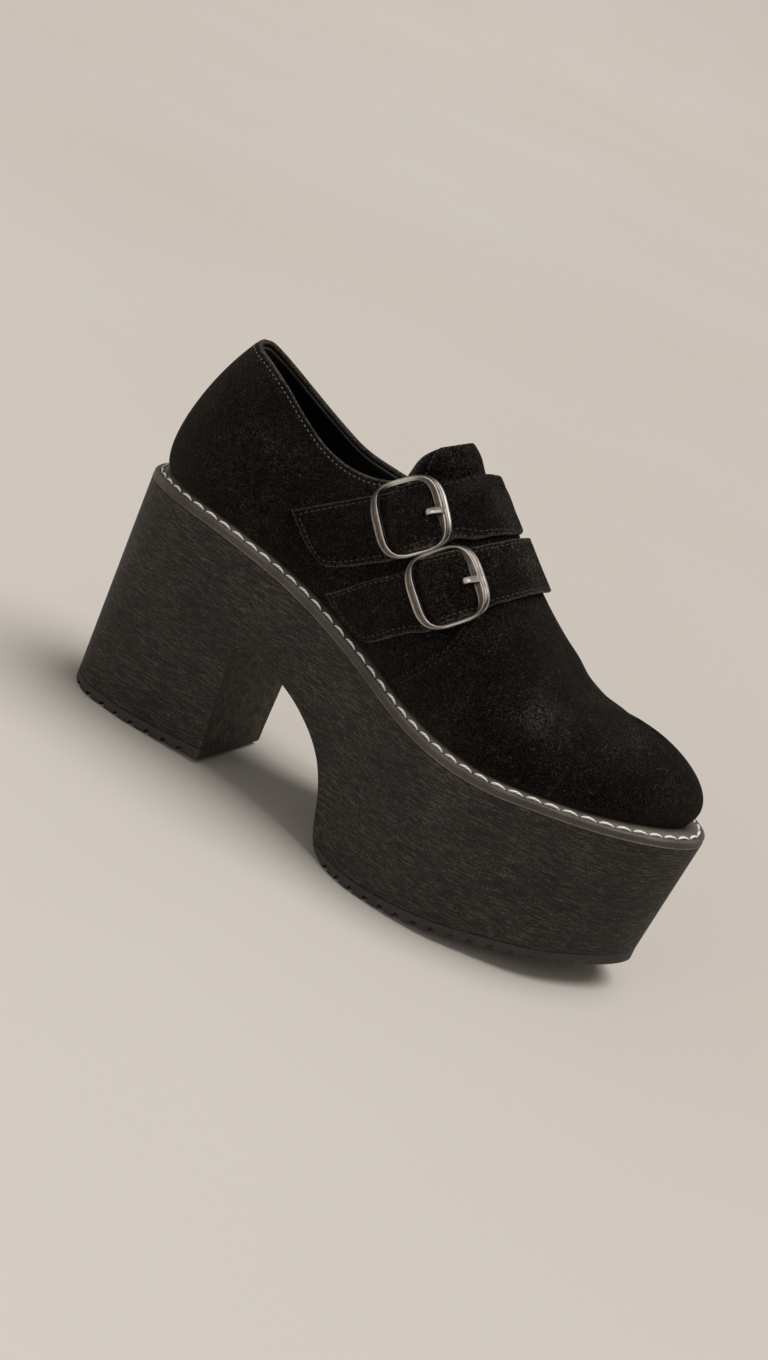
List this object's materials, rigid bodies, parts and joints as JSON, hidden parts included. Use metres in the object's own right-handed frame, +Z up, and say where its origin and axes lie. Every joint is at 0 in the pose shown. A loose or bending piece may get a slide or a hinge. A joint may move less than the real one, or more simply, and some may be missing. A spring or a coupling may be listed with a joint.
{
  "type": "double strap platform shoe",
  "caption": "Closed suede platform shoe for the right foot with buckled straps over the instep, a thick arched platform heel and a hollow lasted upper.",
  "frame": {"origin": "middle of the shoe's length and width on the floor that it stands on", "axes": "+X from the heel to the toe, +Y to the inner side of the foot, +Z up"},
  "size_m": [0.262, 0.0991, 0.1607],
  "materials": {
    "suede": "napped black suede",
    "welt_rubber": "matte taupe",
    "sole_body": "matte, brushed along the sole",
    "tread_rubber": "matte charcoal",
    "lining_leather": "smooth black",
    "nickel": "brushed antique nickel"
  },
  "bodies": {
    "root": {"upper": "suede", "tongue": "suede", "strap_upper": "suede", "strap_lower": "suede", "buckle_frame_upper": "nickel", "buckle_frame_lower": "nickel", "buckle_prong_upper": "nickel", "buckle_prong_lower": "nickel", "insole": "lining_leather", "welt": "welt_rubber", "platform": "sole_body", "outsole_heel": "tread_rubber", "outsole_forefoot": "tread_rubber"}
  },
  "joints": []
}
